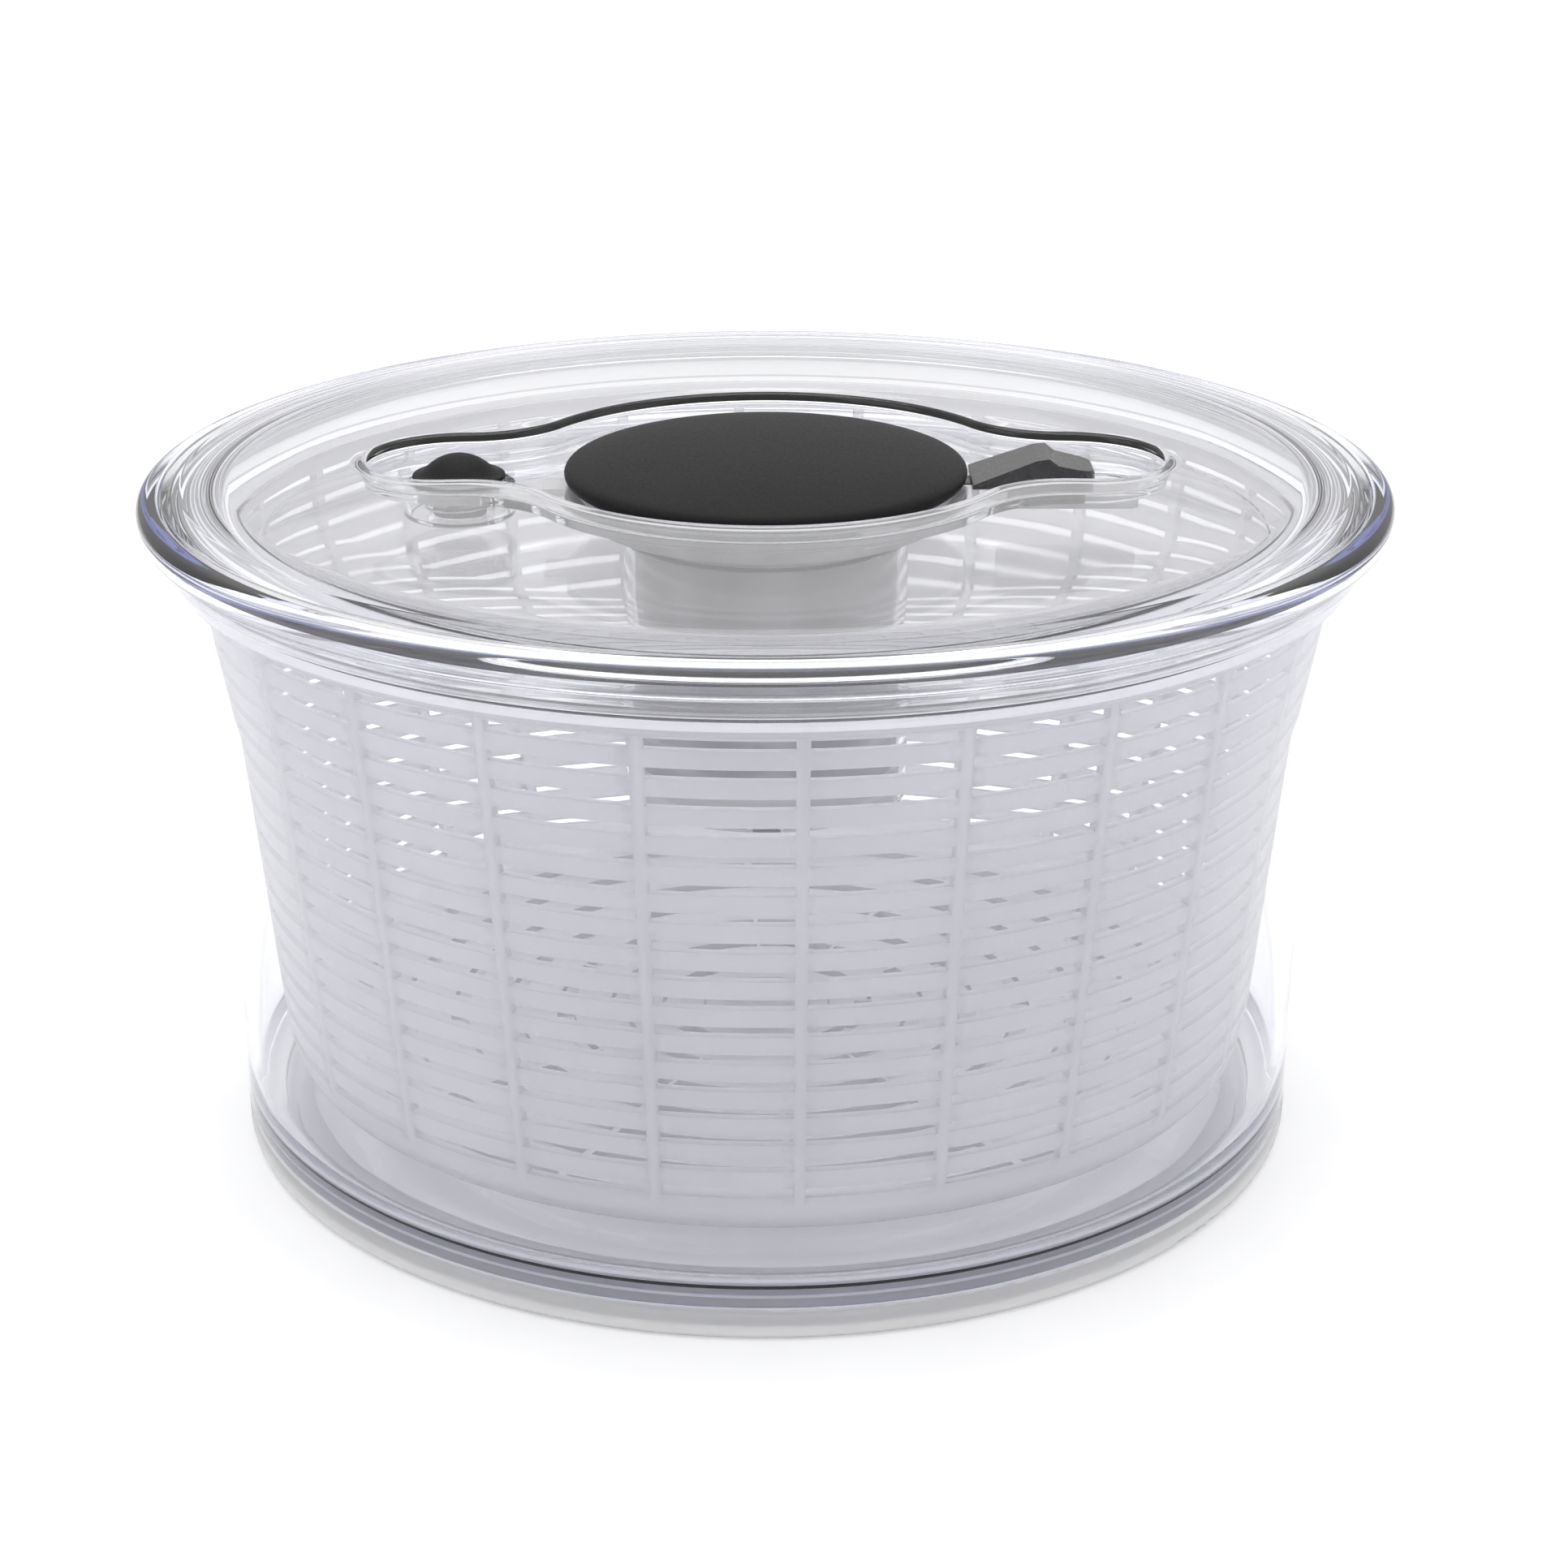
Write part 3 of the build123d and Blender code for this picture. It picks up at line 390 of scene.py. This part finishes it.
def cell_shell(name, outer, inner, open_cells):
    """A closed shell from two matching grids of points, outer[j][i] and inner[j][i], that wraps round in j.

    open_cells holds the (j, i) cells that are holes; their edges are walled between the two skins."""
    columns, rows = len(outer), len(outer[0])
    verts = [p for column in outer for p in column] + [p for column in inner for p in column]
    back = columns * rows
    faces = []

    def at(j, i):
        return (j % columns) * rows + i

    def is_open(j, i):
        return i < 0 or i >= rows - 1 or (j % columns, i) in open_cells

    for j in range(columns):
        for i in range(rows - 1):
            if is_open(j, i):
                continue
            a, b, c, d = at(j, i), at(j + 1, i), at(j + 1, i + 1), at(j, i + 1)
            faces.append((a, b, c, d))
            faces.append((d + back, c + back, b + back, a + back))
            for dj, di, p, q in ((-1, 0, d, a), (1, 0, b, c), (0, -1, a, b), (0, 1, c, d)):
                if is_open(j + dj, i + di):
                    faces.append((q, p, p + back, q + back))
    used = sorted({v for face in faces for v in face})
    renumber = {v: k for k, v in enumerate(used)}
    kept_faces = [tuple(renumber[v] for v in face) for face in faces]
    return add_mesh(name, [verts[v] for v in used], kept_faces, SHELL_SHARP_DEG)


def basket_path():
    """The shell's inner face as (r, z, dr, dz, part): out along the floor, up the wall and over the lip.

    dr and dz, times the wall's thickness, lead from there to the outer face."""
    floor_edges = [FLOOR_HOLE_R] + [edge for slot in FLOOR_SLOTS for edge in slot]
    path = [(r, BASKET_LOW + BASKET_WALL, 0.0, -1.0, "floor") for r in stations(floor_edges, 6.0)]
    steps = 8
    corner_x, corner_z = basket_r(BASKET_LOW) - BASKET_CORNER, BASKET_LOW + BASKET_CORNER
    corner_r = BASKET_CORNER - BASKET_WALL
    for k in range(1, steps + 1):
        angle = math.radians(-90 + 90 * k / steps)
        c, s = math.cos(angle), math.sin(angle)
        path.append((corner_x + corner_r * c, corner_z + corner_r * s, c, s, "corner"))
    wall_edges = [corner_z] + [edge for slot in WALL_SLOTS for edge in slot] + [LIP_Z - ROLL_DEPTH]
    path += [(basket_r(z) - BASKET_WALL, z, 1.0, 0.0, "wall") for z in stations(wall_edges, 3.0)[1:]]
    lip_in = basket_r(LIP_Z) - BASKET_WALL
    path += [(lip_in - inward, LIP_Z - depth, 1.0 + grow, 0.0, "lip") for grow, depth, inward in ROLL]
    return path


def basket_angles():
    """The shell's cuts round the circle as (angle, rib), where rib is 1 on top of a rib and 0 off it."""
    half_rib = RIB_W / 2 / basket_r(RIB_MIDDLE_Z)
    flank = RIB_FLANK / basket_r(RIB_MIDDLE_Z)
    reach = TURN / RIBS - 2 * half_rib
    angles = []
    for rib in range(RIBS):
        middle = math.radians(RIB_ANGLE) + TURN * rib / RIBS
        angles += [(middle - half_rib, 0.0), (middle - half_rib + flank, 1.0),
                   (middle + half_rib - flank, 1.0), (middle + half_rib, 0.0)]
        angles += [(middle + half_rib + reach * k / GAP_CELLS, 0.0) for k in range(1, GAP_CELLS)]
    return angles


def basket_holes(path, columns):
    """The cells (j, i) that are holes: wall slots between the ribs, and floor slots between the spokes."""
    holes = set()
    for j in range(columns):
        rib, place = divmod(j, RIB_CELLS + GAP_CELLS)
        on_rib = place < RIB_CELLS
        on_spoke = on_rib and rib % 2 == 0
        for i in range(len(path) - 1):
            part = path[i + 1][4]
            middle_r = (path[i][0] + path[i + 1][0]) / 2
            middle_z = (path[i][1] + path[i + 1][1]) / 2
            in_wall_slot = part == "wall" and any(low < middle_z < high for low, high in WALL_SLOTS)
            in_floor_slot = part == "floor" and any(low < middle_r < high for low, high in FLOOR_SLOTS)
            if (in_wall_slot and not on_rib) or (in_floor_slot and not on_spoke):
                holes.add((j, i))
    return holes


def make_basket():
    """Milky strainer basket: one moulded shell with slots, and the boss that turns on the bowl's pivot."""
    path = basket_path()
    angles = basket_angles()
    rib_low, rib_high = WALL_SLOTS[0][0] - RIB_BELOW, WALL_SLOTS[-1][1] + RIB_ABOVE
    outer, inner = [], []
    for angle, rib in angles:
        c, s = math.cos(angle), math.sin(angle)
        inner.append([(r * c, r * s, z) for r, z, _, _, _ in path])
        column = []
        for r, z, dr, dz, part in path:
            proud = rib * RIB_PROUD if part == "wall" and rib_low < z < rib_high else 0.0
            out = r + dr * BASKET_WALL + proud
            column.append((out * c, out * s, z + dz * BASKET_WALL))
        outer.append(column)
    basket = cell_shell("basket_milky_shell", outer, inner, basket_holes(path, len(angles)))
    rounding = basket.modifiers.new("soft_edges", "BEVEL")
    rounding.width = 0.25 * MM
    rounding.segments = 2
    rounding.limit_method = "ANGLE"
    rounding.angle_limit = math.radians(SHELL_SHARP_DEG)
    floor_top = BASKET_LOW + BASKET_WALL
    boss = lathe("basket_boss", rounded([(BOSS_BORE_R, BASKET_LOW, 0), (BOSS_R, BASKET_LOW, 0),
                                         (BOSS_R, floor_top, 0), (BOSS_NECK_R, floor_top, 1.2),
                                         (BOSS_TOP_R, BOSS_TOP, 0.8), (0, BOSS_TOP, 0),
                                         (0, BOSS_ROOF, 0), (BOSS_BORE_R, BOSS_ROOF, 0.5)]), 96)
    dress(basket, "basket", "basket_plastic", basket_milky, "basket")
    dress(boss, "basket", "basket_plastic", basket_milky)


# ------------------------------------------------------------------ lid
def dome_z(r):
    """Height of the lid's nearly flat top."""
    return SHOULDER[1] + DOME_SLOPE * (SHOULDER[0] - r)


def recess_r(angle, grow):
    """Radius of the figure-8 recess outline in a direction, grown by an offset."""
    c, s = abs(math.cos(angle)), abs(math.sin(angle))
    throat = THROAT_R - grow
    height = LOBE_R + THROAT_R
    reach = RECESS_R + THROAT_R
    across = math.sqrt(reach ** 2 - height ** 2)
    turn = math.atan2(s, c)
    if turn >= math.atan2(height, across):
        return RECESS_R + grow
    if turn >= math.atan2(LOBE_R + grow, across):
        along = across * c + height * s
        return along - math.sqrt(max(0.0, along ** 2 - reach ** 2 + throat ** 2))
    if turn >= math.atan2(LOBE_R + grow, LOBE_X):
        return (LOBE_R + grow) / s
    return LOBE_X * c + math.sqrt((LOBE_R + grow) ** 2 - (LOBE_X * s) ** 2)


def soft_step(foot, top_of, rounding, steps=6):
    """Wall of the recess from its floor to the dome, as (grow, z) points, with both corners rounded.

    foot is the floor's height; top_of(grow) is the dome's height at that offset."""
    edge_z = foot
    for _ in range(8):       # the wall leans out as it rises, so its top edge is found by repeating
        edge_z = max(foot, top_of((edge_z - RECESS_Z) * LEAN))
    tall = edge_z - foot
    soft = min(rounding, tall * 0.45 + 0.05)      # less on a low wall, so that the two roundings hardly meet
    edge_grow = (edge_z - RECESS_Z) * LEAN
    foot_grow = (foot - RECESS_Z) * LEAN
    start, mid_low = (foot_grow - soft, foot), (foot_grow + soft * LEAN, foot + soft)
    mid_high = (edge_grow - soft * LEAN, edge_z - soft)
    stop = (edge_grow + soft, top_of(edge_grow + soft) if tall > 0.1 else edge_z)
    points = []
    for (p, corner, q) in ((start, (foot_grow, foot), mid_low), (mid_high, (edge_grow, edge_z), stop)):
        for k in range(steps + 1):
            t = k / steps
            points.append(tuple((1 - t) ** 2 * a + 2 * t * (1 - t) * b + t ** 2 * c
                                for a, b, c in zip(p, corner, q)))
    return points


def lid_sheet(angle, drop, base, grow_by, rounding):
    """One face of the lid in one direction, as (r, z) points from the knob's hole out to the plain rim.

    drop is how far the face lies below the dome's top, base is the height of its recess floor, and grow_by
    widens its recess outline."""
    floor_steps, dome_steps = 4, 10
    step = soft_step(base, lambda grow: dome_z(recess_r(angle, grow + grow_by)) - drop, rounding)
    floor_end = recess_r(angle, step[0][0] + grow_by)
    sheet = [(HOLE_R + (floor_end - HOLE_R) * k / floor_steps, base) for k in range(floor_steps)]
    sheet += [(recess_r(angle, grow + grow_by), z) for grow, z in step]
    last = sheet[-1][0]
    radii = [last + (PLATE_R - last) * k / dome_steps for k in range(1, dome_steps)]
    return sheet + [(r, dome_z(r) - drop) for r in radii]


def lid_rim():
    """The lid's section outside PLATE_R: shoulder, lip, skirt and the rounded corner inside it."""
    lip_low = LEDGE_Z + LIP_GAP
    inside = SKIRT_R - SKIRT_T
    return rounded([(PLATE_R, dome_z(PLATE_R), 0), (*SHOULDER, 3.0), (LIP_OUT_R, EDGE_Z, 0.5),
                    (LIP_OUT_R, lip_low, 0.5), (SKIRT_R, lip_low, 0.6), (SKIRT_R, SKIRT_LOW, 0.6),
                    (inside, SKIRT_LOW, 0.6), (inside, dome_z(SKIRT_R) - LID_T, PLATE_CORNER),
                    (PLATE_R, dome_z(PLATE_R) - LID_T, 0)], steps=12, closed=False)


def slot_cutter(low, high):
    """Upright prism that cuts the lock slide's slot, open into the knob's hole."""
    half = SLOT_W / 2
    plan = rounded([(SLOT_START, -half, 0), (SLOT_END, -half, 2.0),
                    (SLOT_END, half, 2.0), (SLOT_START, half, 0)])
    size = len(plan)
    verts = [(x, y, z) for z in (low, high) for x, y in plan]
    faces = [tuple(range(size)), tuple(range(size, 2 * size))]
    faces += [(i, (i + 1) % size, size + (i + 1) % size, size + i) for i in range(size)]
    return add_mesh("slot_cutter", verts, faces)


def make_lid():
    """Clear lid: lip and skirt, nearly flat top and the soft-edged figure-8 recess, as one closed shell."""
    segments = 720
    rim = lid_rim()
    verts, faces = [], []
    for j in range(segments):
        angle = TURN * (j + 0.5) / segments
        c, s = math.cos(angle), math.sin(angle)
        top = lid_sheet(angle, 0.0, RECESS_Z, 0.0, TOP_SOFT)
        under = lid_sheet(angle, LID_T, RECESS_Z - RECESS_T, RECESS_WALL, UNDER_SOFT)
        verts += [(r * c, r * s, z) for r, z in top + rim + under[::-1]]
    count = len(verts) // segments
    for j in range(segments):
        k = (j + 1) % segments
        faces += [(j * count + i, k * count + i, k * count + (i + 1) % count, j * count + (i + 1) % count)
                  for i in range(count)]
    lid = add_mesh("lid_clear_shell", verts, faces)
    low, high = RECESS_Z - CUT_REACH, RECESS_Z + CUT_REACH
    round_cut = [(0, low), (BRAKE_HOLE_R, low), (BRAKE_HOLE_R, high), (0, high)]
    carve(lid, lathe("brake_cutter", round_cut, 96, BRAKE_X))
    carve(lid, slot_cutter(low, high))
    dress(lid, "lid", "clear_plastic", lid_clear, "lid_shell")


# ------------------------------------------------------------------ springs
def make_spring(name, x0, mean_r, wire_r, low, high, turns):
    """Compression spring of round wire that stands on the lid's part, in place of the CAD node of that name.
    """
    per_turn, around = 40, 10
    rows = per_turn * turns
    verts, faces = [], []
    rise = high - low - 2 * wire_r
    for k in range(rows + 1):
        angle = TURN * k / per_turn
        c, s = math.cos(angle), math.sin(angle)
        z = low + wire_r + rise * k / rows
        for i in range(around):
            swing = TURN * i / around
            out = mean_r + wire_r * math.cos(swing)
            verts.append((x0 + out * c, out * s, z + wire_r * math.sin(swing)))
    for k in range(rows):
        faces += [(k * around + i, k * around + (i + 1) % around,
                   (k + 1) * around + (i + 1) % around, (k + 1) * around + i) for i in range(around)]
    faces.append(tuple(range(around)))
    faces.append(tuple(range(rows * around, (rows + 1) * around)))
    spring = add_mesh(name + "_coil", verts, faces)
    spring.data.materials.append(spring_steel)
    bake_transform(spring)
    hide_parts(name)


make_bowl()
make_basket()
make_lid()
make_spring("return_spring", x0=0.0, mean_r=17.6, wire_r=0.7, low=87.4, high=138.6, turns=11)
make_spring("brake_spring", x0=BRAKE_X, mean_r=7.2, wire_r=0.35, low=134.0, high=141.6, turns=4)

for material, names in (
        (foot_milky, ("foot_ring",)),
        (hub_milky, ("hub_housing", "guide_collar", "lock_guide", "drive_tube")),
        (basket_milky, ("plunger_sleeve",)),
        (lid_clear, ("brake_guide",)),
        (table_clear, ("turntable",)),
        (acetal, ("spindle_bush", "drive_ring", "drive_nut", "spindle", "ratchet_wheel", "pawls")),
        (grip_black, ("knob_grip", "brake_button")),
        (core_black, ("knob_core",)),
        (satin_black, ("lock_slide", "lock_shoe")),
        (stem_grey, ("brake_stem",)),
        (pad_grey, ("brake_pad",)),
        (spring_steel, ("spindle_clip",))):
    for name in names:
        finish_node(name, material)


# ------------------------------------------------------------------ stage: floor, lights and camera
FLOOR_HALF = 4.0          # metres from the middle of the floor to its edge
FLOOR_GLOW = 0.2
SKY_LOW, SKY_HIGH = 0.66, 0.90       # brightness of the surroundings in reflections, level and overhead
LAMP_AIM = (0.0, 0.0, 0.08)
SENSOR_MM, LENS_MM = 36.0, 72.52
CAMERA_PLACE = (0.0, -0.658, 0.3254)
CAMERA_DOWN_DEG, CAMERA_YAW_DEG = 21.06, -0.34


def make_floor():
    """Plain pale floor, which glows a little so that it meets the white surroundings with no edge."""
    half = FLOOR_HALF / MM
    corners = [(-half, -half, 0), (half, -half, 0), (half, half, 0), (-half, half, 0)]
    floor = add_mesh("studio_floor", corners, [(0, 1, 2, 3)])
    material, nodes, links, shader, output = new_material("studio_white")
    speck = grain(nodes, links, 60.0)
    links.new(tint(nodes, links, speck, (0.92, 0.92, 0.92), (0.94, 0.94, 0.94)).outputs["Color"],
              shader.inputs["Base Color"])
    shader.inputs["Roughness"].default_value = 0.9
    shader.inputs["Specular IOR Level"].default_value = 0.0
    glow = nodes.new("ShaderNodeEmission")
    glow.inputs["Strength"].default_value = FLOOR_GLOW
    nothing = nodes.new("ShaderNodeEmission")
    nothing.inputs["Strength"].default_value = 0.0
    path = nodes.new("ShaderNodeLightPath")
    seen = nodes.new("ShaderNodeMixShader")
    links.new(path.outputs["Is Diffuse Ray"], seen.inputs["Fac"])
    links.new(glow.outputs["Emission"], seen.inputs[1])
    links.new(nothing.outputs["Emission"], seen.inputs[2])
    both = nodes.new("ShaderNodeAddShader")
    links.new(shader.outputs["BSDF"], both.inputs[0])
    links.new(seen.outputs["Shader"], both.inputs[1])
    links.new(both.outputs["Shader"], output.inputs["Surface"])
    floor.data.materials.append(material)


def make_world():
    """Surroundings that are pure white to the camera, and greyer near the horizon in reflections."""
    world = bpy.data.worlds.new("studio_world")
    world.use_nodes = True
    nodes, links = world.node_tree.nodes, world.node_tree.links
    where = nodes.new("ShaderNodeTexCoord")
    split = nodes.new("ShaderNodeSeparateXYZ")
    links.new(where.outputs["Generated"], split.inputs["Vector"])
    ramp = nodes.new("ShaderNodeValToRGB")
    stops = ramp.color_ramp.elements
    stops[0].position, stops[0].color = 0.0, (*[SKY_LOW] * 3, 1.0)
    stops[1].position, stops[1].color = 0.55, (*[SKY_HIGH] * 3, 1.0)
    links.new(split.outputs["Z"], ramp.inputs["Fac"])
    path = nodes.new("ShaderNodeLightPath")
    either = nodes.new("ShaderNodeMix")
    either.data_type = "RGBA"
    links.new(path.outputs["Is Camera Ray"], either.inputs["Factor"])
    links.new(ramp.outputs["Color"], either.inputs["A"])
    either.inputs["B"].default_value = (1.0, 1.0, 1.0, 1.0)
    links.new(either.outputs["Result"], nodes["Background"].inputs["Color"])
    bpy.context.scene.world = world


def softbox(name, place, size, power):
    """A square area light that points at the object."""
    data = bpy.data.lights.new(name, "AREA")
    data.size = size
    data.energy = power
    lamp = bpy.data.objects.new(name, data)
    lamp.location = place
    toward = [a - p for a, p in zip(LAMP_AIM, place)]
    yaw = math.atan2(toward[0], -toward[1])
    pitch = math.atan2(math.hypot(toward[0], toward[1]), -toward[2])
    lamp.rotation_euler = (pitch, 0.0, yaw + math.pi)
    bpy.context.scene.collection.objects.link(lamp)


def make_camera():
    """The camera: in front and a little above, with a slightly long lens."""
    data = bpy.data.cameras.new("camera")
    data.sensor_width = SENSOR_MM
    data.lens = LENS_MM
    camera = bpy.data.objects.new("camera", data)
    camera.location = CAMERA_PLACE
    camera.rotation_euler = (math.radians(90.0 - CAMERA_DOWN_DEG), 0.0, math.radians(CAMERA_YAW_DEG))
    bpy.context.scene.collection.objects.link(camera)
    bpy.context.scene.camera = camera


make_floor()
softbox("key_left", place=(-1.2, -0.6, 1.3), size=1.2, power=3.0)
softbox("fill_right", place=(1.3, -0.4, 1.0), size=1.2, power=1.6)
softbox("top", place=(0.0, 0.3, 1.7), size=1.4, power=11.0)
make_world()
bpy.context.scene.view_settings.view_transform = "Standard"
cycles = bpy.context.scene.cycles      # light crosses many clear walls, so it needs many bounces
cycles.max_bounces = 36
cycles.transmission_bounces = 32
cycles.transparent_max_bounces = 32
cycles.glossy_bounces = 8
cycles.diffuse_bounces = 10
make_camera()
